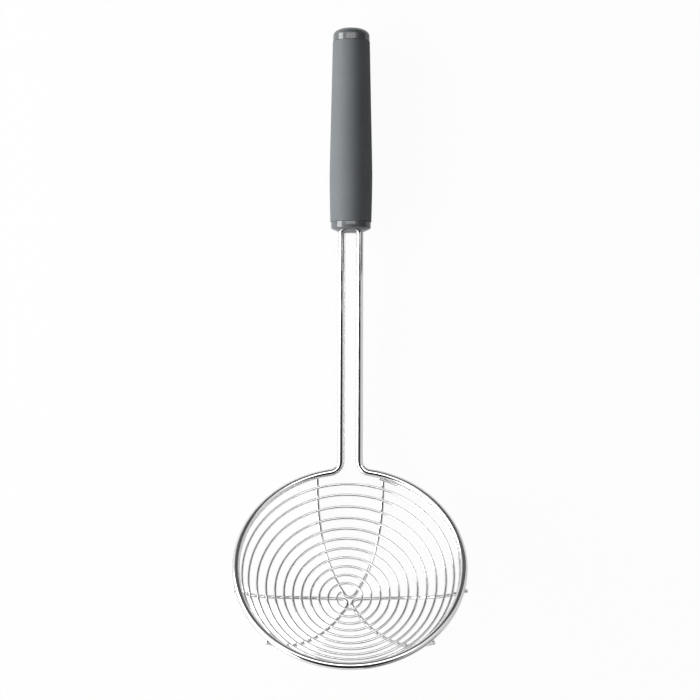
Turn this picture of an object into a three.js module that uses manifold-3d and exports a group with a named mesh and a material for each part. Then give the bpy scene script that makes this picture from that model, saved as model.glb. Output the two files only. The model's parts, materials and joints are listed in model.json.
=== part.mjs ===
// Wire skimmer: a spiral wire bowl on a round rim, carried by two parallel stems in a soft-grip handle.
// Millimetres. Modelled in the tool's own frame, with the handle axis along +Y, the middle of the neck
// at the origin and the bowl opening upwards, then laid down on the table that it rests on.
import * as THREE from 'three';
import { mergeVertices } from 'three/addons/utils/BufferGeometryUtils.js';
import Module from 'manifold-3d';

// Driving dimensions in millimetres, angles in degrees

// Rim, neck and stems: one bent wire
const FRAME_WIRE = 4;
const RIM_RADIUS = 61;
const RIM_TILT = 36;
const STEM_SPACING = 10;
const STEM_REACH = 132.9;
const STEM_SEAT = 62;
const NECK_BEND = 7;

// Bowl surface, in which the middle of the spiral wire lies
const BOWL_DEPTH = 34.6;
const BELLY_MARGIN = 3;

// Spiral wire
const SPIRAL_WIRE = 1.4;
const SPIRAL_PITCH = 4.92;
const SPIRAL_START_RADIUS = 5;
const SPIRAL_START_ANGLE = 127;
const SPIRAL_END_ANGLE = 74;
const SPIRAL_START_DRIFT = -1.36;
const CLOSING_TURNS = 2.6;

// Support wires: three V-bent wires under the spiral
const SUPPORT_WIRE = 1.8;
const FIRST_SUPPORT_ANGLE = 90;
const NOSE_BEND = 3.2;
const NOSE_GAP = 0.6;
const LEG_SPREAD = 32;
const LEG_BOW = 102;
const NUB_LENGTH = 0.7;

// Spacer bar between the stems at the handle's mouth
const SPACER_WIRE = 2.2;
const SPACER_PROUD = 0.85;

// Handle core with its nose, collar, shaft and spigot
const MOUTH_DIAMETER = 13.9;
const NOSE_LENGTH = 1.7;
const COLLAR_DIAMETER = 22.2;
const COLLAR_LENGTH = 3.7;
const COLLAR_EDGE = 0.4;
const SPIGOT_DIAMETER = 11;
const SPIGOT_LENGTH = 3.5;

// Grip sleeve
const GRIP_LENGTH = 101.2;
const GRIP_FRONT_DIAMETER = 22.9;
const GRIP_BULGE_DIAMETER = 23.8;
const GRIP_BULGE_AT = 26;
const GRIP_BUTT_DIAMETER = 20.7;
const GRIP_EDGE = 0.3;
const SLEEVE_WALL = 2.2;

// End cap
const CAP_DIAMETER = 20.4;
const CAP_BAND = 3.1;
const CAP_DOME = 4.2;
const BUTT_FLAT_DIAMETER = 6;

// Clearances
const FIT = 0.25;
const WELD_GAP = 0.3;

// Fineness of the facets
const FRAME_SIDES = 10;
const RIM_STEPS = 72;
const NECK_STEPS = 6;
const STEM_STEPS = 2;
const SPIRAL_SIDES = 6;
const SPIRAL_STEPS = 330;
const SPIRAL_CROWDING = 2 / 3;
const GAP_SAMPLES = 1000;
const SUPPORT_SIDES = 8;
const NOSE_STEPS = 6;
const LEG_STEPS = 14;
const TURNED_SIDES = 36;
const BORE_SIDES = 24;
const GRIP_RINGS = 12;
const DOME_RINGS = 6;

const { degToRad } = THREE.MathUtils;
const FULL_TURN = 2 * Math.PI;
const QUARTER_TURN = Math.PI / 2;
const STEEPEST_REST = degToRad(30);
const supportNames = ['support_wire_top', 'support_wire_left', 'support_wire_right'];

const steel = { color: 0xc6c9cb, metalness: 1, roughness: 0.16 };
const hardPlastic = { color: 0x6a6e71, metalness: 0, roughness: 0.32 };
const softGrip = { color: 0x5d6165, metalness: 0, roughness: 0.72 };

// Shared geometry helpers

// Root of a function that changes sign once between low and high.
function solve(equation, low, high) {
  const rising = equation(high) > 0;
  for (let halving = 0; halving < 60; halving += 1) {
    const middle = (low + high) / 2;
    if ((equation(middle) > 0) === rising) {
      high = middle;
    } else {
      low = middle;
    }
  }
  return (low + high) / 2;
}

// A wire's centre line in stretches, each with its own number of even steps.
class WireRoute extends THREE.Curve {
  constructor(stretches) {
    super();
    this.stretches = stretches;
    this.steps = stretches.reduce((sum, stretch) => sum + stretch.steps, 0);
  }

  getUtoTmapping(share) {
    return share;
  }

  getPoint(share, target = new THREE.Vector3()) {
    let station = share * this.steps;
    const last = this.stretches[this.stretches.length - 1];
    for (const stretch of this.stretches) {
      if (station <= stretch.steps || stretch === last) {
        return target.copy(stretch.at(station / stretch.steps));
      }
      station -= stretch.steps;
    }
    return target;
  }
}

function roundSection(diameter, sides) {
  const corners = [];
  for (let side = 0; side < sides; side += 1) {
    const angle = (FULL_TURN * side) / sides;
    corners.push(new THREE.Vector2(Math.cos(angle), Math.sin(angle)).multiplyScalar(diameter / 2));
  }
  return new THREE.Shape(corners);
}

function wire(route, diameter, sides) {
  return new THREE.ExtrudeGeometry(roundSection(diameter, sides), {
    steps: route.steps,
    extrudePath: route,
    bevelEnabled: false,
  });
}

function turned(profile) {
  const points = profile.map(([radius, along]) => new THREE.Vector2(radius, along));
  return new THREE.LatheGeometry(points, TURNED_SIDES);
}

function piece(name, geometry, finish) {
  const mesh = new THREE.Mesh(geometry, new THREE.MeshStandardMaterial(finish));
  mesh.name = name;
  return mesh;
}

// Bowl surface: half an ellipse in section, whose drop is measured from the rim's plane

const bellyRadius = RIM_RADIUS + BELLY_MARGIN;
const bellyDrop = BOWL_DEPTH / (1 - Math.sqrt(1 - (RIM_RADIUS / bellyRadius) ** 2));

function bowlDepth(radius) {
  return bellyDrop * Math.sqrt(1 - (radius / bellyRadius) ** 2) - (bellyDrop - BOWL_DEPTH);
}

function bowlSlope(radius) {
  const share = radius / bellyRadius;
  return Math.atan((bellyDrop / bellyRadius) * (share / Math.sqrt(1 - share ** 2)));
}

// The bowl's own frame: rim in the XY plane, +Y towards the handle, opening towards +Z.
const bowlFrame = new THREE.Group();
bowlFrame.rotation.x = -degToRad(RIM_TILT);
bowlFrame.position.set(0, -RIM_RADIUS, 0).applyEuler(bowlFrame.rotation);
bowlFrame.updateMatrix();

function onRim(angle) {
  const point = new THREE.Vector3(Math.cos(angle), Math.sin(angle), 0).multiplyScalar(RIM_RADIUS);
  return point.applyMatrix4(bowlFrame.matrix);
}

// Rim, neck bends and stems, bent from one wire that runs into the handle at both ends

function makeWireFrame() {
  const stemX = STEM_SPACING / 2;
  const neckAngle = Math.asin((stemX + NECK_BEND) / (RIM_RADIUS + NECK_BEND));
  const bendTop = (RIM_RADIUS + NECK_BEND) * Math.cos(neckAngle) - RIM_RADIUS;
  const bendPull = (4 / 3) * Math.tan((QUARTER_TURN - neckAngle) / 4) * NECK_BEND;
  const rimStart = QUARTER_TURN - neckAngle;
  const rimSweep = FULL_TURN - 2 * neckAngle;

  const rimAt = (share) => onRim(rimStart - rimSweep * share);
  const rimJoin = rimAt(0);
  const rimAhead = onRim(rimStart - neckAngle);
  const rimBehind = onRim(rimStart + neckAngle);
  const rimDirection = rimAhead.sub(rimBehind).normalize();

  const stemEnd = new THREE.Vector3(stemX, STEM_REACH + STEM_SEAT, 0);
  const bendStart = new THREE.Vector3(stemX, bendTop, 0);
  const stem = new THREE.LineCurve3(stemEnd, bendStart);
  const neck = new THREE.CubicBezierCurve3(
    bendStart,
    bendStart.clone().setY(bendTop - bendPull),
    rimJoin.clone().addScaledVector(rimDirection, -bendPull),
    rimJoin,
  );
  const mirrored = (curve) => (share) => curve.getPoint(1 - share).multiply(new THREE.Vector3(-1, 1, 1));

  const route = new WireRoute([
    { at: (share) => stem.getPoint(share), steps: STEM_STEPS },
    { at: (share) => neck.getPoint(share), steps: NECK_STEPS },
    { at: rimAt, steps: RIM_STEPS },
    { at: mirrored(neck), steps: NECK_STEPS },
    { at: mirrored(stem), steps: STEM_STEPS },
  ]);
  return piece('wire_frame', wire(route, FRAME_WIRE, FRAME_SIDES), steel);
}

// Spiral wire: an even spiral on the bowl surface, begun a little to one side of the bowl's middle,
// whose last turns close up until its end lies on the rim

function makeSpiral() {
  const rimReach = (FRAME_WIRE + SPIRAL_WIRE) / 2 + WELD_GAP;
  const rimDistance = (radius) => Math.hypot(RIM_RADIUS - radius, bowlDepth(radius)) - rimReach;
  const endRadius = solve(rimDistance, RIM_RADIUS / 2, RIM_RADIUS);
  const partTurn = THREE.MathUtils.euclideanModulo((SPIRAL_END_ANGLE - SPIRAL_START_ANGLE) / 360, 1);
  const evenTurns = (endRadius - SPIRAL_START_RADIUS) / SPIRAL_PITCH;
  const turns = Math.ceil(evenTurns - partTurn) + partTurn;
  const overshoot = SPIRAL_START_RADIUS + SPIRAL_PITCH * turns - endRadius;
  const closing = overshoot / CLOSING_TURNS ** 2;

  // Stations lie closer together towards the middle, so that small turns are as round as large ones.
  const turnAt = (share) => turns * share ** SPIRAL_CROWDING;
  const at = (share) => {
    const turn = turnAt(share);
    const closed = Math.max(0, turn - (turns - CLOSING_TURNS));
    const radius = SPIRAL_START_RADIUS + SPIRAL_PITCH * turn - closing * closed ** 2;
    const angle = degToRad(SPIRAL_START_ANGLE) + FULL_TURN * turn;
    const drift = SPIRAL_START_DRIFT * (1 - turn / turns);
    const x = radius * Math.cos(angle) + drift;
    const y = radius * Math.sin(angle);
    return new THREE.Vector3(x, y, -bowlDepth(Math.hypot(x, y)));
  };
  const route = new WireRoute([{ at, steps: SPIRAL_STEPS }]);
  printLeastGap(route, turnAt);
  return piece('spiral_wire', wire(route, SPIRAL_WIRE, SPIRAL_SIDES), steel);
}

// Least gap between the spiral and its own turns, measured on points of the centre line
function printLeastGap(route, turnAt) {
  const points = route.getPoints(GAP_SAMPLES);
  const turns = points.map((point, index) => turnAt(index / GAP_SAMPLES));
  const nextTurn = 1 / 2;
  let least = Infinity;
  for (let first = 0; first < points.length; first += 1) {
    for (let second = first + 1; second < points.length; second += 1) {
      if (turns[second] - turns[first] > nextTurn) {
        least = Math.min(least, points[first].distanceTo(points[second]));
      }
    }
  }
  const gap = least - SPIRAL_WIRE;
  console.log(`spiral_wire: ${turnAt(1).toFixed(2)} turns, least gap to itself ${gap.toFixed(2)} mm`);
}

// Support wires: each a V with a round nose by the bowl's middle and bowed legs, lying under the spiral.
// The legs leave the bowl on a straight line that passes under the rim and end just outside it.

const layDistance = (SPIRAL_WIRE + SUPPORT_WIRE) / 2 + WELD_GAP;

function underSpiral(radius) {
  const slope = bowlSlope(radius);
  return {
    radius: radius + layDistance * Math.sin(slope),
    depth: bowlDepth(radius) + layDistance * Math.cos(slope),
    slope,
  };
}

const rimClearance = (FRAME_WIRE + SUPPORT_WIRE) / 2 + WELD_GAP;
const legLeaves = underSpiral(solve((radius) => {
  const point = underSpiral(radius);
  const toRim = RIM_RADIUS - point.radius;
  return point.depth * Math.cos(point.slope) - toRim * Math.sin(point.slope) - rimClearance;
}, RIM_RADIUS / 2, RIM_RADIUS));
const rimPassRadius = RIM_RADIUS + rimClearance * Math.sin(legLeaves.slope);
const legEndRadius = rimPassRadius + NUB_LENGTH * Math.cos(legLeaves.slope);

function supportDepth(radius) {
  if (radius > legLeaves.radius) {
    return legLeaves.depth - (radius - legLeaves.radius) * Math.tan(legLeaves.slope);
  }
  return underSpiral(solve((lying) => underSpiral(lying).radius - radius, 0, RIM_RADIUS)).depth;
}

const supportStep = FULL_TURN / supportNames.length;

function makeSupport(name, direction) {
  const spread = degToRad(LEG_SPREAD);
  const noseSpacing = 2 * NOSE_BEND + SUPPORT_WIRE + NOSE_GAP;
  const noseCentre = noseSpacing / (2 * Math.sin(supportStep / 2));
  const onBowl = (along, across) => {
    const depth = supportDepth(Math.hypot(along, across));
    return new THREE.Vector3(along, across, -depth);
  };

  const legPlan = (heading) => new THREE.Vector2(
    noseCentre - NOSE_BEND * Math.sin(spread) + LEG_BOW * (Math.sin(spread) - Math.sin(heading)),
    NOSE_BEND * Math.cos(spread) + LEG_BOW * (Math.cos(heading) - Math.cos(spread)),
  );
  const endHeading = solve((heading) => legPlan(heading).length() - legEndRadius, spread, -QUARTER_TURN);

  const legAt = (share, side) => {
    const plan = legPlan(spread + (endHeading - spread) * share);
    return onBowl(plan.x, side * plan.y);
  };
  const noseAt = (share) => {
    const angle = Math.PI + (QUARTER_TURN - spread) * (2 * share - 1);
    return onBowl(noseCentre + NOSE_BEND * Math.cos(angle), NOSE_BEND * Math.sin(angle));
  };

  const route = new WireRoute([
    { at: (share) => legAt(1 - share, 1), steps: LEG_STEPS },
    { at: noseAt, steps: NOSE_STEPS },
    { at: (share) => legAt(share, -1), steps: LEG_STEPS },
  ]);
  const support = piece(name, wire(route, SUPPORT_WIRE, SUPPORT_SIDES), steel);
  support.rotation.z = direction;
  return support;
}

// Handle stations along the axis

const mouth = STEM_REACH;
const collarStart = mouth + NOSE_LENGTH;
const collarEnd = collarStart + COLLAR_LENGTH;
const gripEnd = collarEnd + GRIP_LENGTH;
const butt = gripEnd + CAP_BAND + CAP_DOME;

const gripBulge = collarEnd + GRIP_BULGE_AT;
const taperMiddleDiameter = (GRIP_BULGE_DIAMETER + GRIP_BUTT_DIAMETER) / 2;
const gripCurve = new THREE.SplineCurve([
  new THREE.Vector2(GRIP_FRONT_DIAMETER / 2, collarEnd),
  new THREE.Vector2(GRIP_BULGE_DIAMETER / 2, gripBulge),
  new THREE.Vector2(taperMiddleDiameter / 2, (gripBulge + gripEnd) / 2),
  new THREE.Vector2(GRIP_BUTT_DIAMETER / 2, gripEnd),
]);
const gripLine = gripCurve.getPoints(GRIP_RINGS).map((point) => [point.x, point.y]);
const gripMiddle = gripLine.slice(1, -1);

// Solids for cuts, made from closed geometry with its shared corners merged

const wasm = await Module();
wasm.setup();

function solid(geometry) {
  const bare = geometry.clone();
  bare.deleteAttribute('normal');
  bare.deleteAttribute('uv');
  const merged = mergeVertices(bare);
  const vertProperties = new Float32Array(merged.attributes.position.array);
  const triVerts = new Uint32Array(merged.index.array);
  return new wasm.Manifold(new wasm.Mesh({ numProp: 3, vertProperties, triVerts }));
}

function surface(body) {
  const { vertProperties, triVerts } = body.getMesh();
  const geometry = new THREE.BufferGeometry();
  geometry.setAttribute('position', new THREE.BufferAttribute(new Float32Array(vertProperties), 3));
  geometry.setIndex(new THREE.BufferAttribute(new Uint32Array(triVerts), 1));
  geometry.computeVertexNormals();
  return geometry;
}

// Short bar that keeps the stems apart, set half into the handle's mouth

const spacerAlong = mouth - SPACER_PROUD + SPACER_WIRE / 2;

function makeSpacer() {
  const length = STEM_SPACING - FRAME_WIRE - 2 * WELD_GAP;
  const bar = new THREE.CylinderGeometry(SPACER_WIRE / 2, SPACER_WIRE / 2, length, BORE_SIDES);
  bar.rotateZ(QUARTER_TURN);
  const spacer = piece('stem_spacer', bar, steel);
  spacer.position.y = spacerAlong;
  return spacer;
}

// Handle core: nose, collar, the shaft inside the sleeve, and a spigot that carries the end cap

function makeCore() {
  const collarRadius = COLLAR_DIAMETER / 2;
  const spigotRadius = SPIGOT_DIAMETER / 2;
  const inside = SLEEVE_WALL + FIT;
  const shaft = gripMiddle.map(([radius, along]) => [radius - inside, along]);
  const core = solid(turned([
    [0, mouth],
    [MOUTH_DIAMETER / 2, mouth],
    [collarRadius - COLLAR_EDGE, collarStart],
    [collarRadius, collarStart + COLLAR_EDGE],
    [collarRadius, collarEnd],
    [GRIP_FRONT_DIAMETER / 2 - inside, collarEnd],
    ...shaft,
    [GRIP_BUTT_DIAMETER / 2 - inside, gripEnd],
    [spigotRadius, gripEnd],
    [spigotRadius, gripEnd + SPIGOT_LENGTH],
    [0, gripEnd + SPIGOT_LENGTH],
  ]));

  const boreRadius = FRAME_WIRE / 2 + FIT;
  const boreLength = 2 * (STEM_SEAT + FIT);
  const bore = new THREE.CylinderGeometry(boreRadius, boreRadius, boreLength, BORE_SIDES);
  bore.translate(0, mouth, 0);
  const leftBore = solid(bore.clone().translate(-STEM_SPACING / 2, 0, 0));
  const rightBore = solid(bore.clone().translate(STEM_SPACING / 2, 0, 0));

  const seatRadius = SPACER_WIRE / 2 + FIT;
  const seat = new THREE.CylinderGeometry(seatRadius, seatRadius, STEM_SPACING, BORE_SIDES);
  seat.rotateZ(QUARTER_TURN);
  seat.translate(0, spacerAlong, 0);

  const bored = core.subtract(leftBore).subtract(rightBore).subtract(solid(seat));
  return piece('handle_core', surface(bored), hardPlastic);
}

// Grip sleeve: a soft shell of even wall over the shaft, tapering to the butt from a bulge near the front

function makeSleeve() {
  const front = collarEnd + FIT;
  const back = gripEnd - FIT;
  const frontRadius = GRIP_FRONT_DIAMETER / 2;
  const buttRadius = GRIP_BUTT_DIAMETER / 2;
  const inner = gripMiddle.map(([radius, along]) => [radius - SLEEVE_WALL, along]).reverse();
  const geometry = turned([
    [frontRadius - SLEEVE_WALL, front],
    [frontRadius - GRIP_EDGE, front],
    [frontRadius, front + GRIP_EDGE],
    ...gripMiddle,
    [buttRadius, back - GRIP_EDGE],
    [buttRadius - GRIP_EDGE, back],
    [buttRadius - SLEEVE_WALL, back],
    ...inner,
    [frontRadius - SLEEVE_WALL, front],
  ]);
  return piece('grip_sleeve', geometry, softGrip);
}

// End cap: a band and a low dome with a small flat at its tip, socketed on the core's spigot

function makeCap() {
  const capRadius = CAP_DIAMETER / 2;
  const socketRadius = SPIGOT_DIAMETER / 2 + FIT;
  const socketEnd = gripEnd + SPIGOT_LENGTH + FIT;
  const flatRadius = BUTT_FLAT_DIAMETER / 2;
  const domeStart = gripEnd + CAP_BAND;
  const dome = [];
  for (let ring = 0; ring <= DOME_RINGS; ring += 1) {
    const angle = (QUARTER_TURN * ring) / DOME_RINGS;
    const radius = flatRadius + (capRadius - flatRadius) * Math.cos(angle);
    dome.push([radius, domeStart + CAP_DOME * Math.sin(angle)]);
  }
  const geometry = turned([
    [0, socketEnd],
    [socketRadius, socketEnd],
    [socketRadius, gripEnd],
    [capRadius, gripEnd],
    ...dome,
    [0, butt],
  ]);
  return piece('end_cap', geometry, hardPlastic);
}

// Assembly in the tool's own frame

const tool = new THREE.Group();
bowlFrame.add(makeSpiral());
supportNames.forEach((name, index) => {
  bowlFrame.add(makeSupport(name, degToRad(FIRST_SUPPORT_ANGLE) + supportStep * index));
});
const handle = new THREE.Group();
handle.add(makeSpacer(), makeCore(), makeSleeve(), makeCap());
tool.add(makeWireFrame(), bowlFrame, handle);

// Laying it down: it rests on the bowl and on the grip, which fixes the handle's slope

function cornersOf(object) {
  object.updateMatrixWorld(true);
  const corners = [];
  object.traverse((child) => {
    if (child.isMesh) {
      const positions = child.geometry.attributes.position;
      for (let index = 0; index < positions.count; index += 1) {
        const corner = new THREE.Vector3().fromBufferAttribute(positions, index);
        corners.push(corner.applyMatrix4(child.matrixWorld));
      }
    }
  });
  return corners;
}

const bowlCorners = cornersOf(bowlFrame);
const handleCorners = cornersOf(handle);
const lowest = (corners, slope) => corners.reduce(
  (least, corner) => Math.min(least, corner.y * Math.sin(slope) + corner.z * Math.cos(slope)),
  Infinity,
);
const restSlope = solve(
  (slope) => lowest(bowlCorners, slope) - lowest(handleCorners, slope),
  -STEEPEST_REST,
  STEEPEST_REST,
);
tool.rotation.x = restSlope;

const skimmer = new THREE.Group();
skimmer.add(tool);
skimmer.updateMatrixWorld(true);
const box = new THREE.Box3().setFromObject(skimmer, true);
tool.position.set(-(box.min.x + box.max.x) / 2, -(box.min.y + box.max.y) / 2, -box.min.z);

export default skimmer;
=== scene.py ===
import json
import math

import bmesh
import bpy
from mathutils import Matrix, Vector, geometry


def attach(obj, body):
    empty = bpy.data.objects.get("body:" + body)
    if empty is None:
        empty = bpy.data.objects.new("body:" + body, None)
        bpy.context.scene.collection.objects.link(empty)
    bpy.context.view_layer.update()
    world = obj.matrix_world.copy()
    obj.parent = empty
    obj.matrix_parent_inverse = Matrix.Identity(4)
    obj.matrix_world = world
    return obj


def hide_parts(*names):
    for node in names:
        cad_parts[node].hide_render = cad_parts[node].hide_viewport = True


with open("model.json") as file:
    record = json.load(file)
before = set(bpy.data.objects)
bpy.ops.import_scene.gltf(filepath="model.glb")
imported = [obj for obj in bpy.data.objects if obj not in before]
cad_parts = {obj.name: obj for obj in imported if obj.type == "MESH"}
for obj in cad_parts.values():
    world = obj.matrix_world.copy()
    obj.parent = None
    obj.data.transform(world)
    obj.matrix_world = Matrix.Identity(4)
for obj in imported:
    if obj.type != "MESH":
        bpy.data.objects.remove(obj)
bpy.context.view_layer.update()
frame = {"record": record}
scene = bpy.context.scene

# How the skimmer lies: on its bowl and its grip, so the handle slopes a little. Every piece is
# drawn in metres from the neck, with the handle along +Y and the bowl opening upwards, and is
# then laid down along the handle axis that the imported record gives.
NECK_TO_BUTT = 0.2468

butt = frame["record"]["mounts"][0]
handle_direction = Vector(butt["axis"]).normalized()
neck = Vector(butt["pos_m"]) - handle_direction * NECK_TO_BUTT
rest_slope = math.atan2(handle_direction.z, handle_direction.y)
laid_down = Matrix.Translation(neck) @ Matrix.Rotation(rest_slope, 4, "X")

# Wire frame: one 4 mm stainless wire, bent to the round rim, two neck bends and two
# parallel stems. It is drawn and polished, so it mirrors the room along its length.
FRAME_WIRE = 0.004
FRAME_SIDES = 24
RIM_RADIUS = 0.061
RIM_TILT = math.radians(36)
RIM_STEPS = 240
STEM_X = 0.005
STEM_REACH = 0.1329
STEM_SEAT = 0.062
NECK_BEND = 0.007
NECK_STEPS = 24
END_EASE = 0.12
END_WIDTH = 0.76
WIRE_CREASE = math.radians(40)

bowl_frame = Matrix.Rotation(-RIM_TILT, 4, "X") @ Matrix.Translation((0, -RIM_RADIUS, 0))


def add_piece(name, mesh, crease):
    """An object at the origin for a mesh, smooth apart from edges sharper than the crease."""
    mesh.shade_smooth()
    mesh.set_sharp_from_angle(angle=crease)
    piece = bpy.data.objects.new(name, mesh)
    scene.collection.objects.link(piece)
    return piece


def swept_wire(name, path, diameter, sides):
    """A round wire along a path, with its cut ends slightly eased, laid down in its place."""
    line = bpy.data.curves.new(name, "CURVE")
    line.dimensions = "3D"
    line.bevel_depth = diameter / 2
    # A curve's bevel has four sides at resolution 0, and two more with each step.
    line.bevel_resolution = (sides - 4) // 2
    line.use_fill_caps = True
    ease = diameter * END_EASE
    first = path[0] + (path[1] - path[0]).normalized() * ease
    last = path[-1] + (path[-2] - path[-1]).normalized() * ease
    eased = [path[0], first, *path[1:-1], last, path[-1]]
    spline = line.splines.new("POLY")
    spline.points.add(len(eased) - 1)
    for point, place in zip(spline.points, eased):
        point.co = (*place, 1)
    spline.points[0].radius = END_WIDTH
    spline.points[-1].radius = END_WIDTH
    drawn = bpy.data.objects.new(name, line)
    scene.collection.objects.link(drawn)
    mesh = bpy.data.meshes.new_from_object(drawn)
    bpy.data.objects.remove(drawn)
    mesh.name = name
    mesh.transform(laid_down)
    return add_piece(name, mesh, WIRE_CREASE)


def on_rim(angle):
    return bowl_frame @ Vector((RIM_RADIUS * math.cos(angle), RIM_RADIUS * math.sin(angle), 0))


# Each neck bend is a quarter turn or so, drawn as one Bezier arc from the stem to the rim.
neck_angle = math.asin((STEM_X + NECK_BEND) / (RIM_RADIUS + NECK_BEND))
bend_top = (RIM_RADIUS + NECK_BEND) * math.cos(neck_angle) - RIM_RADIUS
bend_pull = 4 / 3 * math.tan((math.pi / 2 - neck_angle) / 4) * NECK_BEND
rim_start = math.pi / 2 - neck_angle
rim_sweep = 2 * math.pi - 2 * neck_angle
rim_line = [on_rim(rim_start - rim_sweep * step / RIM_STEPS) for step in range(RIM_STEPS + 1)]
rim_direction = (rim_line[1] - rim_line[0]).normalized()
stem_end = Vector((STEM_X, STEM_REACH + STEM_SEAT, 0))
bend_start = Vector((STEM_X, bend_top, 0))
neck_line = geometry.interpolate_bezier(
    bend_start,
    bend_start - Vector((0, bend_pull, 0)),
    rim_line[0] - rim_direction * bend_pull,
    rim_line[0],
    NECK_STEPS,
)
right_side = [stem_end, *neck_line[:-1]]
left_side = [Vector((-place.x, place.y, place.z)) for place in reversed(right_side)]
frame_line = right_side + rim_line + left_side
wire_frame = swept_wire("rim_and_stems", frame_line, FRAME_WIRE, FRAME_SIDES)


def add_socket(group, name, side, kind, value=None):
    socket = group.interface.new_socket(name=name, in_out=side, socket_type=kind)
    if value is not None:
        socket.default_value = value


def add_noise(tree, place, detail):
    """A noise texture, read at that place."""
    noise = tree.nodes.new("ShaderNodeTexNoise")
    noise.inputs["Detail"].default_value = detail
    tree.links.new(place, noise.inputs["Vector"])
    return noise


def rescale(tree, value, given, wanted):
    """A node that turns one range of values into another."""
    ranged = tree.nodes.new("ShaderNodeMapRange")
    ranged.inputs["From Min"].default_value = given[0]
    ranged.inputs["From Max"].default_value = given[1]
    ranged.inputs["To Min"].default_value = wanted[0]
    ranged.inputs["To Max"].default_value = wanted[1]
    tree.links.new(value, ranged.inputs["Value"])
    return ranged


# Drawn wire is a shared effect of the steel: faint lines along the wire, from the die
# that it was pulled through, and soft handling marks that change its gloss.
drawn_wire = bpy.data.node_groups.new("drawn wire", "ShaderNodeTree")
add_socket(drawn_wire, "Lines Along and Around", "INPUT", "NodeSocketVector", (40, 60, 1))
add_socket(drawn_wire, "Mark Scale", "INPUT", "NodeSocketFloat", 90.0)
add_socket(drawn_wire, "Roughness", "OUTPUT", "NodeSocketFloat")
add_socket(drawn_wire, "Height", "OUTPUT", "NodeSocketFloat")
given = drawn_wire.nodes.new("NodeGroupInput").outputs
result = drawn_wire.nodes.new("NodeGroupOutput").inputs
wire_map = drawn_wire.nodes.new("ShaderNodeUVMap")
wire_map.uv_map = "UVMap"
spread = drawn_wire.nodes.new("ShaderNodeVectorMath")
spread.operation = "MULTIPLY"
drawn_wire.links.new(wire_map.outputs["UV"], spread.inputs[0])
drawn_wire.links.new(given["Lines Along and Around"], spread.inputs[1])
lines = add_noise(drawn_wire, spread.outputs[0], detail=3)
lines.inputs["Scale"].default_value = 1
place = drawn_wire.nodes.new("ShaderNodeTexCoord").outputs["Object"]
marks = add_noise(drawn_wire, place, detail=4)
drawn_wire.links.new(given["Mark Scale"], marks.inputs["Scale"])
gloss = rescale(drawn_wire, marks.outputs["Fac"], given=(0.35, 0.7), wanted=(0.07, 0.17))
drawn_wire.links.new(gloss.outputs["Result"], result["Roughness"])
drawn_wire.links.new(lines.outputs["Fac"], result["Height"])


def add_relief(tree, height, strength):
    """Fine relief of a surface, a tenth of a millimetre deep at full strength."""
    relief = tree.nodes.new("ShaderNodeBump")
    relief.inputs["Strength"].default_value = strength
    relief.inputs["Distance"].default_value = 0.0001
    tree.links.new(height, relief.inputs["Height"])
    tree.links.new(relief.outputs["Normal"], tree.nodes["Principled BSDF"].inputs["Normal"])


def steel_finish(name, tone):
    """Stainless wire of a tone, with the drawn effect."""
    steel = bpy.data.materials.new(name)
    steel.use_nodes = True
    tree = steel.node_tree
    surface = tree.nodes["Principled BSDF"]
    surface.inputs["Base Color"].default_value = (*tone, 1)
    surface.inputs["Metallic"].default_value = 1
    wire_marks = tree.nodes.new("ShaderNodeGroup")
    wire_marks.node_tree = drawn_wire
    tree.links.new(wire_marks.outputs["Roughness"], surface.inputs["Roughness"])
    add_relief(tree, wire_marks.outputs["Height"], strength=0.02)
    return steel


def fit_wire(wire, finish, *cad_nodes):
    """The wire takes its finish, rides with the skimmer and stands for its solid."""
    wire.data.materials.clear()
    wire.data.materials.append(finish)
    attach(wire, "root")
    if cad_nodes:
        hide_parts(*cad_nodes)


polished_steel = steel_finish("polished stainless steel", tone=(0.78, 0.78, 0.785))
fit_wire(wire_frame, polished_steel, "wire_frame")

# Spiral wire: one thin stainless wire wound in a spiral that forms the bowl. Its inner
# end lies on a support wire by the bowl's middle, and its last turns close up to the rim.
SPIRAL_WIRE = 0.0014
SPIRAL_SIDES = 12
SPIRAL_PITCH = 0.00492
SPIRAL_START_RADIUS = 0.005
SPIRAL_START_ANGLE = math.radians(127)
SPIRAL_END_ANGLE = math.radians(74)
SPIRAL_START_DRIFT = -0.00136
CLOSING_TURNS = 2.6
BOWL_DEPTH = 0.0346
BELLY_RADIUS = 0.064
WELD_GAP = 0.0003
WHOLE_TURNS = 11
STEPS_A_TURN = 90
HALVINGS = 50

belly_drop = BOWL_DEPTH / (1 - math.sqrt(1 - (RIM_RADIUS / BELLY_RADIUS) ** 2))


def bowl_depth(radius):
    """Depth below the rim's plane: the bowl is part of an ellipsoid, a little wider than the rim."""
    return belly_drop * math.sqrt(1 - (radius / BELLY_RADIUS) ** 2) - (belly_drop - BOWL_DEPTH)


def bowl_slope(radius):
    share = radius / BELLY_RADIUS
    return math.atan(belly_drop / BELLY_RADIUS * share / math.sqrt(1 - share ** 2))


def solve(equation, low, high):
    """Root of a function that changes sign once between low and high."""
    rising = equation(high) > 0
    for halving in range(HALVINGS):
        middle = (low + high) / 2
        if (equation(middle) > 0) == rising:
            high = middle
        else:
            low = middle
    return (low + high) / 2


rim_reach = (FRAME_WIRE + SPIRAL_WIRE) / 2 + WELD_GAP
spiral_end_radius = solve(
    lambda radius: math.hypot(RIM_RADIUS - radius, bowl_depth(radius)) - rim_reach,
    RIM_RADIUS / 2,
    RIM_RADIUS,
)
spiral_turns = WHOLE_TURNS + (SPIRAL_END_ANGLE - SPIRAL_START_ANGLE) / (2 * math.pi) % 1
overshoot = SPIRAL_START_RADIUS + SPIRAL_PITCH * spiral_turns - spiral_end_radius
closing = overshoot / CLOSING_TURNS ** 2


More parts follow.
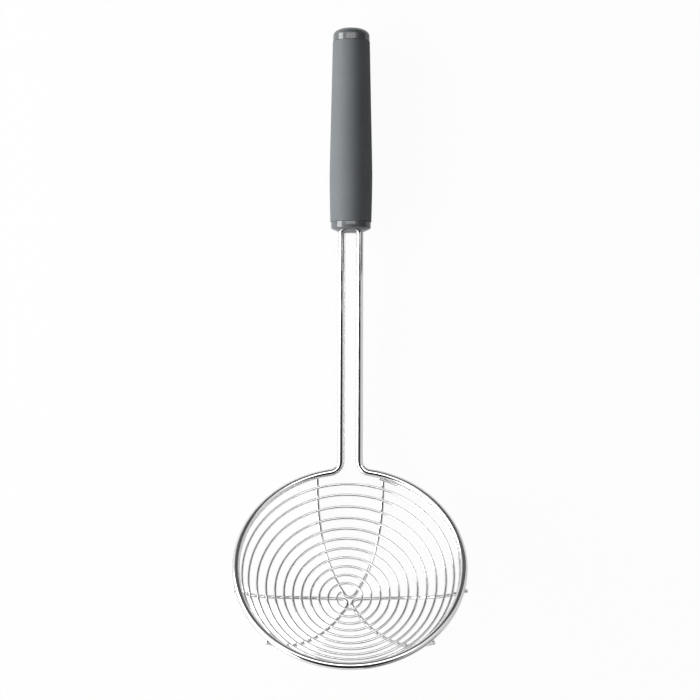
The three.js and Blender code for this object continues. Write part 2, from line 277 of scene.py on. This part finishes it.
def spiral_radius(turn):
    """An even pitch, which closes over the last turns so that the wire ends beside the rim."""
    closed = max(0, turn - (spiral_turns - CLOSING_TURNS))
    return SPIRAL_START_RADIUS + SPIRAL_PITCH * turn - closing * closed ** 2


def spiral_plan(turn):
    """Place in the rim's plane: the spiral starts a little off the middle and drifts back to it."""
    angle = SPIRAL_START_ANGLE + 2 * math.pi * turn
    drift = SPIRAL_START_DRIFT * (1 - turn / spiral_turns)
    radius = spiral_radius(turn)
    return Vector((radius * math.cos(angle) + drift, radius * math.sin(angle)))


def on_spiral(turn):
    plan = spiral_plan(turn)
    return bowl_frame @ Vector((plan.x, plan.y, -bowl_depth(plan.length)))


spiral_steps = round(spiral_turns * STEPS_A_TURN)
turn_at = [spiral_turns * step / spiral_steps for step in range(spiral_steps + 1)]
spiral_line = [on_spiral(turn) for turn in turn_at]
spiral = swept_wire("spiral_bowl", spiral_line, SPIRAL_WIRE, SPIRAL_SIDES)
fit_wire(spiral, polished_steel, "spiral_wire")

# Support wires: three stainless wires, each bent to a V with a round nose, that lie
# under the spiral and carry it. Their ends are welded under the rim and show just outside it.
SUPPORT_WIRE = 0.0018
SUPPORT_SIDES = 16
NOSE_BEND = 0.0032
NOSE_GAP = 0.0006
NOSE_STEPS = 24
LEG_SPREAD = math.radians(32)
LEG_BOW = 0.102
LEG_STEPS = 80
NUB_LENGTH = 0.0007

lay_distance = (SPIRAL_WIRE + SUPPORT_WIRE) / 2 + WELD_GAP
rim_clearance = (FRAME_WIRE + SUPPORT_WIRE) / 2 + WELD_GAP


def under_spiral(radius):
    """Radius, depth and slope of a support wire where the spiral above it has that radius."""
    slope = bowl_slope(radius)
    out = radius + lay_distance * math.sin(slope)
    down = bowl_depth(radius) + lay_distance * math.cos(slope)
    return out, down, slope


def rim_miss(radius):
    """How far a straight run on from there passes under the rim, beyond its clearance."""
    out, down, slope = under_spiral(radius)
    return down * math.cos(slope) - (RIM_RADIUS - out) * math.sin(slope) - rim_clearance


leave_radius, leave_depth, leave_slope = under_spiral(solve(rim_miss, RIM_RADIUS / 2, RIM_RADIUS))
leg_end = RIM_RADIUS + rim_clearance * math.sin(leave_slope) + NUB_LENGTH * math.cos(leave_slope)


def support_depth(radius):
    """A support wire lies under the spiral, and then runs straight out under the rim."""
    if radius > leave_radius:
        return leave_depth - (radius - leave_radius) * math.tan(leave_slope)
    lying = solve(lambda tried: under_spiral(tried)[0] - radius, 0, RIM_RADIUS)
    return under_spiral(lying)[1]


# The three noses lie round the bowl's middle, each a small gap from the next.
nose_centre = (2 * NOSE_BEND + SUPPORT_WIRE + NOSE_GAP) / (2 * math.sin(math.pi / 3))
leg_from_along = nose_centre - NOSE_BEND * math.sin(LEG_SPREAD)
leg_from_across = NOSE_BEND * math.cos(LEG_SPREAD)


def leg_plan(heading):
    """A leg is an arc in plan: its place where it heads that way from the support's own line."""
    along = leg_from_along + LEG_BOW * (math.sin(LEG_SPREAD) - math.sin(heading))
    across = leg_from_across + LEG_BOW * (math.cos(heading) - math.cos(LEG_SPREAD))
    return along, across


end_heading = solve(
    lambda heading: math.hypot(*leg_plan(heading)) - leg_end,
    LEG_SPREAD,
    -math.pi / 2,
)
heading_step = (end_heading - LEG_SPREAD) / LEG_STEPS
leg_line = [leg_plan(LEG_SPREAD + heading_step * step) for step in range(LEG_STEPS + 1)]
nose_line = []
for step in range(1, NOSE_STEPS):
    angle = math.pi + (math.pi / 2 - LEG_SPREAD) * (2 * step / NOSE_STEPS - 1)
    nose_line.append((nose_centre + NOSE_BEND * math.cos(angle), NOSE_BEND * math.sin(angle)))
mirrored_leg = [(along, -across) for along, across in leg_line]
support_plan = [*reversed(leg_line), *nose_line, *mirrored_leg]

plain_steel = steel_finish("plain stainless steel", tone=(0.62, 0.62, 0.625))
support_turns = {
    "support_wire_top": math.radians(90),
    "support_wire_left": math.radians(210),
    "support_wire_right": math.radians(330),
}
for cad_node, direction in support_turns.items():
    turned = bowl_frame @ Matrix.Rotation(direction, 4, "Z")
    support_line = []
    for along, across in support_plan:
        down = support_depth(math.hypot(along, across))
        support_line.append(turned @ Vector((along, across, -down)))
    name = cad_node.replace("support_wire", "support")
    support = swept_wire(name, support_line, SUPPORT_WIRE, SUPPORT_SIDES)
    fit_wire(support, plain_steel, cad_node)

# Spot welds: where the spiral crosses a leg, and where a leg passes under the rim, the wires
# are pressed together and fused, which leaves a small nugget of steel between them. Each size
# is half the nugget's width, and the last of the three runs from wire to wire.
SPIRAL_WELD = (0.00074, 0.00074, 0.0006)
RIM_WELD = (0.0011, 0.0011, 0.0007)
END_WELD = (0.0008, 0.0008, 0.0013)
WELD_CREASE = math.radians(90)

weld_shape = bmesh.new()


def add_weld(place, normal, size):
    """A nugget at a place, with the last of its sizes along the normal."""
    turn = normal.to_track_quat("Z", "Y").to_matrix().to_4x4()
    shape = Matrix.Translation(place) @ turn @ Matrix.Diagonal((*size, 1))
    bmesh.ops.create_icosphere(weld_shape, subdivisions=2, radius=1, matrix=laid_down @ shape)


def outward_at(place, slope):
    """Direction out of the bowl's underside at a place in its plan, where its wall has that slope."""
    flat = place.normalized() * math.sin(slope)
    return bowl_frame.to_3x3() @ Vector((flat.x, flat.y, -math.cos(slope)))


def leg_miss(turn, direction, side):
    """How far the spiral lies beside a leg at that turn, or None where it is not beside the leg."""
    plan = spiral_plan(turn)
    outset = lay_distance * math.sin(bowl_slope(plan.length))
    below = Matrix.Rotation(-direction, 2) @ (plan * (1 + outset / plan.length))
    if below.x < leg_from_along:
        return None
    heading = math.asin(math.sin(LEG_SPREAD) - (below.x - leg_from_along) / LEG_BOW)
    return side * below.y - leg_plan(heading)[1]


def leg_crossings(direction, side):
    """Turns at which the spiral crosses one leg of the support wire that points that way."""
    crossings = []
    misses = [leg_miss(turn, direction, side) for turn in turn_at]
    for step in range(spiral_steps):
        before, after = misses[step:step + 2]
        if before is None or after is None or (before > 0) == (after > 0):
            continue
        part = before / (before - after)
        crossings.append(turn_at[step] + (turn_at[step + 1] - turn_at[step]) * part)
    return crossings


for direction in support_turns.values():
    for side in (1, -1):
        for turn in leg_crossings(direction, side):
            plan = spiral_plan(turn)
            outward = outward_at(plan, bowl_slope(plan.length))
            add_weld(on_spiral(turn) + outward * (SPIRAL_WIRE + WELD_GAP) / 2, outward, SPIRAL_WELD)
        nub = Matrix.Rotation(direction, 2) @ Vector((leg_line[-1][0], side * leg_line[-1][1]))
        outward = outward_at(nub, leave_slope)
        rim_place = on_rim(math.atan2(nub.y, nub.x))
        add_weld(rim_place + outward * (FRAME_WIRE + WELD_GAP) / 2, outward, RIM_WELD)
spiral_end = on_spiral(spiral_turns)
to_rim = on_rim(SPIRAL_END_ANGLE) - spiral_end
add_weld(spiral_end + to_rim.normalized() * SPIRAL_WIRE / 2, to_rim, END_WELD)


def piece_from(shape, name, crease):
    """The finished shape as a piece of its own."""
    mesh = bpy.data.meshes.new(name)
    shape.to_mesh(mesh)
    shape.free()
    return add_piece(name, mesh, crease)


welds = piece_from(weld_shape, "spot_welds", WELD_CREASE)
weld_steel = steel_finish("fused stainless steel", tone=(0.58, 0.57, 0.56))
fit_wire(welds, weld_steel)

# Stem spacer: a short steel bar between the stems, set half into the handle's mouth,
# that keeps the stems apart and stops them turning in the plastic.
SPACER_WIRE = 0.0022
SPACER_PROUD = 0.00085
SPACER_LENGTH = 0.0054
SPACER_SIDES = 32

spacer_along = STEM_REACH - SPACER_PROUD + SPACER_WIRE / 2
spacer_place = laid_down @ Matrix.Translation((0, spacer_along, 0))
across_stems = spacer_place @ Matrix.Rotation(math.pi / 2, 4, "Y")


def add_bar(shape, diameter, length, place, sides):
    """A closed round bar with its middle at a place, along that place's own Z axis."""
    bmesh.ops.create_cone(
        shape,
        cap_ends=True,
        segments=sides,
        radius1=diameter / 2,
        radius2=diameter / 2,
        depth=length,
        matrix=place,
    )


spacer_shape = bmesh.new()
add_bar(spacer_shape, SPACER_WIRE, SPACER_LENGTH, across_stems, SPACER_SIDES)
spacer = piece_from(spacer_shape, "stem_spacer_bar", WIRE_CREASE)
fit_wire(spacer, polished_steel, "stem_spacer")

# Handle core: a glossy moulding in hard grey plastic, with a collar and a tapered nose in front.
# It is bored for the stems and the spacer, and its shaft and spigot carry the grip and the cap.
MOUTH_RADIUS = 0.00695
NOSE_LENGTH = 0.0017
COLLAR_RADIUS = 0.0111
COLLAR_LENGTH = 0.0037
COLLAR_EDGE = 0.0004
GRIP_LENGTH = 0.1012
GRIP_FRONT_RADIUS = 0.01145
GRIP_BULGE_RADIUS = 0.0119
GRIP_BULGE_AT = 0.026
GRIP_BUTT_RADIUS = 0.01035
SWELL_PULL = 0.009
SWELL_RISE = 0.0002
SWELL_STEPS = 14
TAPER_START_PULL = 0.005
TAPER_END_PULL = 0.055
TAPER_RISE = 0.00113
TAPER_STEPS = 30
SLEEVE_WALL = 0.0022
SPIGOT_RADIUS = 0.0055
SPIGOT_LENGTH = 0.0035
FIT = 0.00025
CORE_EDGE = 0.0002
EDGE_STEPS = 3
TURNED_SIDES = 96
TURNED_CREASE = math.radians(30)
BORED_CREASE = math.radians(35)
BORE_SIDES = 48
SAME_POINT = 1e-6

collar_start = STEM_REACH + NOSE_LENGTH
collar_end = collar_start + COLLAR_LENGTH
grip_end = collar_end + GRIP_LENGTH


def turned_piece(name, profile, edge):
    """A profile of radius and distance along the handle, spun round its axis and laid down."""
    shape = bmesh.new()
    corners = [shape.verts.new((radius, along, 0)) for radius, along in profile]
    for start, end in zip(corners, corners[1:]):
        shape.edges.new((start, end))
    bmesh.ops.spin(
        shape,
        geom=shape.verts[:] + shape.edges[:],
        axis=(0, 1, 0),
        angle=2 * math.pi,
        steps=TURNED_SIDES,
        use_merge=True,
    )
    bmesh.ops.remove_doubles(shape, verts=shape.verts, dist=SAME_POINT)
    bmesh.ops.recalc_face_normals(shape, faces=shape.faces)
    shape.transform(laid_down)
    piece = piece_from(shape, name, TURNED_CREASE)
    rounding = piece.modifiers.new("rounded edges", "BEVEL")
    rounding.width = edge
    rounding.segments = EDGE_STEPS
    rounding.limit_method = "ANGLE"
    rounding.angle_limit = TURNED_CREASE
    return piece


# The grip's outline is two Bezier curves, from the collar to the bulge and on to the butt.
front = Vector((GRIP_FRONT_RADIUS, collar_end, 0))
bulge = Vector((GRIP_BULGE_RADIUS, collar_end + GRIP_BULGE_AT, 0))
back = Vector((GRIP_BUTT_RADIUS, grip_end, 0))
front_pull = Vector((SWELL_RISE, SWELL_PULL, 0))
bulge_pull = Vector((0, SWELL_PULL, 0))
long_pull = Vector((0, TAPER_START_PULL, 0))
back_pull = Vector((TAPER_RISE, -TAPER_END_PULL, 0))
swell = geometry.interpolate_bezier(
    front, front + front_pull, bulge - bulge_pull, bulge, SWELL_STEPS
)
taper = geometry.interpolate_bezier(
    bulge, bulge + long_pull, back + back_pull, back, TAPER_STEPS
)
grip_outline = swell + taper[1:]

inside = SLEEVE_WALL + FIT
core_profile = [
    (0, STEM_REACH),
    (MOUTH_RADIUS, STEM_REACH),
    (COLLAR_RADIUS - COLLAR_EDGE, collar_start),
    (COLLAR_RADIUS, collar_start + COLLAR_EDGE),
    (COLLAR_RADIUS, collar_end),
    (GRIP_FRONT_RADIUS - inside, collar_end),
    *[(place.x - inside, place.y) for place in grip_outline[1:]],
    (SPIGOT_RADIUS, grip_end),
    (SPIGOT_RADIUS, grip_end + SPIGOT_LENGTH),
    (0, grip_end + SPIGOT_LENGTH),
]
core = turned_piece("handle_front_and_core", core_profile, CORE_EDGE)

bore_shape = bmesh.new()
along_handle = Matrix.Translation((0, STEM_REACH, 0)) @ Matrix.Rotation(math.pi / 2, 4, "X")
for stem_x in (-STEM_X, STEM_X):
    stem_place = laid_down @ Matrix.Translation((stem_x, 0, 0)) @ along_handle
    add_bar(bore_shape, FRAME_WIRE + 2 * FIT, 2 * (STEM_SEAT + FIT), stem_place, BORE_SIDES)
add_bar(bore_shape, SPACER_WIRE + 2 * FIT, 2 * STEM_X, across_stems, SPACER_SIDES)
bores = piece_from(bore_shape, "stem_bores", BORED_CREASE)
cut = core.modifiers.new("stem bores", "BOOLEAN")
cut.operation = "DIFFERENCE"
cut.solver = "EXACT"
cut.use_self = True
cut.object = bores
bpy.context.view_layer.update()
cut_core = core.evaluated_get(bpy.context.evaluated_depsgraph_get())
bored = bpy.data.meshes.new_from_object(cut_core)
core.modifiers.clear()
core.data = bored
bored.shade_smooth()
bored.set_sharp_from_angle(angle=BORED_CREASE)
bpy.data.objects.remove(bores)

# Moulded grain is a shared effect of the handle's plastics: fine pits from the mould,
# and a slow change of tone and gloss over the surface.
moulded_grain = bpy.data.node_groups.new("moulded grain", "ShaderNodeTree")
add_socket(moulded_grain, "Tone", "INPUT", "NodeSocketColor", (0.1, 0.1, 0.1, 1))
add_socket(moulded_grain, "Tone Change", "INPUT", "NodeSocketFloat", 0.05)
add_socket(moulded_grain, "Grain Scale", "INPUT", "NodeSocketFloat", 2500.0)
add_socket(moulded_grain, "Color", "OUTPUT", "NodeSocketColor")
add_socket(moulded_grain, "Mask", "OUTPUT", "NodeSocketFloat")
add_socket(moulded_grain, "Height", "OUTPUT", "NodeSocketFloat")
given = moulded_grain.nodes.new("NodeGroupInput").outputs
result = moulded_grain.nodes.new("NodeGroupOutput").inputs
place = moulded_grain.nodes.new("ShaderNodeTexCoord").outputs["Object"]
grain = add_noise(moulded_grain, place, detail=2)
moulded_grain.links.new(given["Grain Scale"], grain.inputs["Scale"])
cloud = add_noise(moulded_grain, place, detail=3)
cloud.inputs["Scale"].default_value = 45
shift = rescale(moulded_grain, cloud.outputs["Fac"], given=(0.3, 0.7), wanted=(-1, 1))
amount = moulded_grain.nodes.new("ShaderNodeMath")
amount.operation = "MULTIPLY_ADD"
amount.inputs[2].default_value = 1
moulded_grain.links.new(shift.outputs["Result"], amount.inputs[0])
moulded_grain.links.new(given["Tone Change"], amount.inputs[1])
toned = moulded_grain.nodes.new("ShaderNodeVectorMath")
toned.operation = "SCALE"
moulded_grain.links.new(given["Tone"], toned.inputs[0])
moulded_grain.links.new(amount.outputs[0], toned.inputs["Scale"])
moulded_grain.links.new(toned.outputs[0], result["Color"])
moulded_grain.links.new(cloud.outputs["Fac"], result["Mask"])
moulded_grain.links.new(grain.outputs["Fac"], result["Height"])


def moulded_finish(name, tone, grain_scale, pits, roughness):
    """A moulded plastic: its tone, the size and depth of its grain, and its range of roughness."""
    finish = bpy.data.materials.new(name)
    finish.use_nodes = True
    tree = finish.node_tree
    surface = tree.nodes["Principled BSDF"]
    grained = tree.nodes.new("ShaderNodeGroup")
    grained.node_tree = moulded_grain
    grained.inputs["Tone"].default_value = (*tone, 1)
    grained.inputs["Grain Scale"].default_value = grain_scale
    tree.links.new(grained.outputs["Color"], surface.inputs["Base Color"])
    rough = rescale(tree, grained.outputs["Mask"], given=(0.3, 0.7), wanted=roughness)
    tree.links.new(rough.outputs["Result"], surface.inputs["Roughness"])
    add_relief(tree, grained.outputs["Height"], strength=pits)
    return finish


def fit_moulding(piece, finish, cad_node):
    """The moulding takes its finish, rides with the skimmer and stands for its solid."""
    piece.data.materials.clear()
    piece.data.materials.append(finish)
    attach(piece, "root")
    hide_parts(cad_node)


glossy_plastic = moulded_finish(
    "glossy grey plastic",
    tone=(0.104, 0.112, 0.118),
    grain_scale=900,
    pits=0.02,
    roughness=(0.1, 0.16),
)
fit_moulding(core, glossy_plastic, "handle_core")

# Grip sleeve: a soft rubbery shell of even wall, moulded over the shaft, with a matt and finely
# grained skin. It swells near the front, where the forefinger lies, and tapers to the butt.
SLEEVE_SEAM = 0.00005
SLEEVE_EDGE = 0.0003

sleeve_front = collar_end + SLEEVE_SEAM
sleeve_back = grip_end - SLEEVE_SEAM
sleeve_line = [place for place in grip_outline if sleeve_front < place.y < sleeve_back]
sleeve_profile = [
    (GRIP_FRONT_RADIUS - SLEEVE_WALL, sleeve_front),
    (GRIP_FRONT_RADIUS, sleeve_front),
    *[(place.x, place.y) for place in sleeve_line],
    (GRIP_BUTT_RADIUS, sleeve_back),
    (GRIP_BUTT_RADIUS - SLEEVE_WALL, sleeve_back),
    *[(place.x - SLEEVE_WALL, place.y) for place in reversed(sleeve_line)],
    (GRIP_FRONT_RADIUS - SLEEVE_WALL, sleeve_front),
]
sleeve = turned_piece("soft_grip", sleeve_profile, SLEEVE_EDGE)
soft_skin = moulded_finish(
    "soft grey grip",
    tone=(0.132, 0.142, 0.15),
    grain_scale=2600,
    pits=0.12,
    roughness=(0.55, 0.68),
)
soft_skin.node_tree.nodes["Principled BSDF"].inputs["Specular IOR Level"].default_value = 0.15
fit_moulding(sleeve, soft_skin, "grip_sleeve")

# End cap: a glossy cap, moulded in the same hard plastic as the core, with a short band, a low
# dome and a small flat on its end. It is pressed on the core's spigot and closes the sleeve.
CAP_RADIUS = 0.0102
CAP_BAND = 0.0031
CAP_DOME = 0.0042
CAP_EDGE = 0.00008
BUTT_FLAT_RADIUS = 0.003
DOME_RINGS = 24

dome = []
for ring in range(DOME_RINGS + 1):
    angle = math.pi / 2 * ring / DOME_RINGS
    radius = BUTT_FLAT_RADIUS + (CAP_RADIUS - BUTT_FLAT_RADIUS) * math.cos(angle)
    dome.append((radius, grip_end + CAP_BAND + CAP_DOME * math.sin(angle)))
socket_end = grip_end + SPIGOT_LENGTH + FIT
cap_profile = [
    (0, socket_end),
    (SPIGOT_RADIUS + FIT, socket_end),
    (SPIGOT_RADIUS + FIT, grip_end),
    (CAP_RADIUS, grip_end),
    *dome,
    (0, grip_end + CAP_BAND + CAP_DOME),
]
cap = turned_piece("domed_end_cap", cap_profile, CAP_EDGE)
fit_moulding(cap, glossy_plastic, "end_cap")

# Table: a matt white board under the skimmer. It shows as the white ground of the photograph,
# to the eye and in the steel, and keeps a faint shadow of the skimmer.
TABLE_SIZE = 6.0
PLAIN_WHITE_TO_EYE = 0.95
PLAIN_WHITE_TO_MIRRORS = 0.45

table_shape = bmesh.new()
bmesh.ops.create_grid(table_shape, x_segments=1, y_segments=1, size=TABLE_SIZE / 2)
table = piece_from(table_shape, "table", WIRE_CREASE)


def combine(tree, operation, first, second):
    """Output of a Math node, each side a socket or a plain number."""
    result = tree.nodes.new("ShaderNodeMath")
    result.operation = operation
    for socket, value in zip(result.inputs, (first, second)):
        if isinstance(value, (int, float)):
            socket.default_value = value
        else:
            tree.links.new(value, socket)
    return result.outputs[0]


def ray_shares(tree):
    """Which rays come from the eye, and which from mirrors and glass."""
    path = tree.nodes.new("ShaderNodeLightPath").outputs
    mirrors = combine(tree, "MAXIMUM", path["Is Glossy Ray"], path["Is Transmission Ray"])
    return path["Is Camera Ray"], mirrors


white_board = bpy.data.materials.new("white board")
white_board.use_nodes = True
tree = white_board.node_tree
board = tree.nodes["Principled BSDF"]
board.inputs["Base Color"].default_value = (0.8, 0.8, 0.8, 1)
board.inputs["Roughness"].default_value = 0.9
board.inputs["Specular IOR Level"].default_value = 0
white = tree.nodes.new("ShaderNodeEmission")
white.inputs["Strength"].default_value = 1
eye, mirrors = ray_shares(tree)
to_eye = combine(tree, "MULTIPLY", eye, PLAIN_WHITE_TO_EYE)
to_mirrors = combine(tree, "MULTIPLY", mirrors, PLAIN_WHITE_TO_MIRRORS)
blend = tree.nodes.new("ShaderNodeMixShader")
tree.links.new(combine(tree, "MAXIMUM", to_eye, to_mirrors), blend.inputs["Fac"])
tree.links.new(board.outputs["BSDF"], blend.inputs[1])
tree.links.new(white.outputs["Emission"], blend.inputs[2])
tree.links.new(blend.outputs["Shader"], tree.nodes["Material Output"].inputs["Surface"])
table.data.materials.append(white_board)

# Studio light: a long soft box low on the left and a weaker one above the handle, in a pale room
# that is dark over the bowl and duller on the right. Three dark cards, beyond the butt and on the
# right of the handle and of the bowl, are there only for the steel and the gloss to mirror.
ROOM_ON_SURFACES = 0.03
ROOM_IN_MIRRORS = 1.05


def soft_box(name, place, target, length, width, power):
    """A flat lamp, its sizes in metres and its power in watts, that faces its target."""
    lamp = bpy.data.lights.new(name, "AREA")
    lamp.shape = "RECTANGLE"
    lamp.size = length
    lamp.size_y = width
    lamp.energy = power
    box = bpy.data.objects.new(name, lamp)
    box.location = place
    box.rotation_euler = (Vector(target) - Vector(place)).to_track_quat("-Z", "Y").to_euler()
    scene.collection.objects.link(box)


soft_box(
    "left soft box",
    place=(-1.24, -0.2, 0.48),
    target=(0, -0.1, 0.02),
    length=2.2,
    width=0.76,
    power=45,
)
soft_box(
    "top soft box",
    place=(-0.05, 0.315, 1.0),
    target=(-0.05, 0.314, 0),
    length=1.1,
    width=0.33,
    power=4.0,
)

card_shape = bmesh.new()


def stand_card(start, end, height):
    """An upright card between two places on the table."""
    foot = [card_shape.verts.new((*place, 0)) for place in (start, end)]
    edge = card_shape.edges.new(foot)
    raised = bmesh.ops.extrude_edge_only(card_shape, edges=[edge])["geom"]
    top = [item for item in raised if isinstance(item, bmesh.types.BMVert)]
    bmesh.ops.translate(card_shape, verts=top, vec=(0, 0, height))


stand_card(start=(-0.75, 0.75), end=(1.05, 0.75), height=0.8)
stand_card(start=(0.16, 0.05), end=(0.16, 0.3), height=0.2)
stand_card(start=(0.75, -0.4), end=(0.1, -0.75), height=0.3)
cards = piece_from(card_shape, "dark_cards", WIRE_CREASE)
cards.visible_camera = False
cards.visible_diffuse = False
cards.visible_shadow = False
dark_card = bpy.data.materials.new("dark card")
dark_card.use_nodes = True
card_face = dark_card.node_tree.nodes["Principled BSDF"]
card_face.inputs["Base Color"].default_value = (0.08, 0.08, 0.08, 1)
card_face.inputs["Roughness"].default_value = 0.9
cards.data.materials.append(dark_card)

room = bpy.data.worlds.new("pale room")
room.use_nodes = True
scene.world = room
walls = room.node_tree
direction = walls.nodes.new("ShaderNodeTexCoord").outputs["Generated"]


def left_by_patch(toward, full_within, gone_by, depth):
    """Share of the room's light left by a dark patch, from its middle and its angles in degrees."""
    nearness = walls.nodes.new("ShaderNodeVectorMath")
    nearness.operation = "DOT_PRODUCT"
    nearness.inputs[1].default_value = Vector(toward).normalized()
    walls.links.new(direction, nearness.inputs[0])
    edge = math.cos(math.radians(gone_by))
    core_edge = math.cos(math.radians(full_within))
    fade = rescale(walls, nearness.outputs["Value"], given=(edge, core_edge), wanted=(1, 1 - depth))
    fade.interpolation_type = "SMOOTHSTEP"
    return fade.outputs["Result"]


over_bowl = left_by_patch(toward=(-0.02, -0.4, 0.92), full_within=30, gone_by=52, depth=0.98)
right_wall = left_by_patch(toward=(1, -0.1, 0.2), full_within=30, gone_by=60, depth=0.3)
pale = combine(walls, "MULTIPLY", over_bowl, right_wall)
eye, mirrors = ray_shares(walls)
extra = combine(walls, "MULTIPLY", mirrors, ROOM_IN_MIRRORS - ROOM_ON_SURFACES)
lit = combine(walls, "MULTIPLY", pale, combine(walls, "ADD", extra, ROOM_ON_SURFACES))
background = walls.nodes["Background"].inputs
background["Color"].default_value = (1, 1, 1, 1)
walls.links.new(combine(walls, "MAXIMUM", lit, eye), background["Strength"])

# Camera: above the skimmer and almost square to its handle, as in the photograph. It is framed
# for a square picture, by the photograph's scale along the stems.
CAMERA_DISTANCE = 1.1
CAMERA_LEAN = math.radians(-2)
CAMERA_ROLL = math.radians(0.16)
AIM_ALONG = 0.0672
AIM_ACROSS = -0.00028
PIXELS_A_METRE = 1800
PICTURE_PIXELS = 700
SENSOR_MM = 36

aim = laid_down @ Vector((AIM_ACROSS, AIM_ALONG, 0))
leaning = Vector((0, math.sin(CAMERA_LEAN), math.cos(CAMERA_LEAN)))
back_to_camera = (laid_down.to_3x3() @ leaning).normalized()
level_right = Vector((1, 0, 0))
level_up = back_to_camera.cross(level_right)
picture_up = level_up * math.cos(CAMERA_ROLL) - level_right * math.sin(CAMERA_ROLL)
picture_right = level_right * math.cos(CAMERA_ROLL) + level_up * math.sin(CAMERA_ROLL)
lens = bpy.data.cameras.new("camera")
lens.sensor_width = SENSOR_MM
lens.lens = SENSOR_MM * PIXELS_A_METRE * CAMERA_DISTANCE / PICTURE_PIXELS
camera = bpy.data.objects.new("camera", lens)
camera_turn = Matrix((picture_right, picture_up, back_to_camera)).transposed().to_4x4()
camera.matrix_world = Matrix.Translation(aim + back_to_camera * CAMERA_DISTANCE) @ camera_turn
scene.collection.objects.link(camera)
scene.camera = camera
scene.view_settings.view_transform = "Standard"
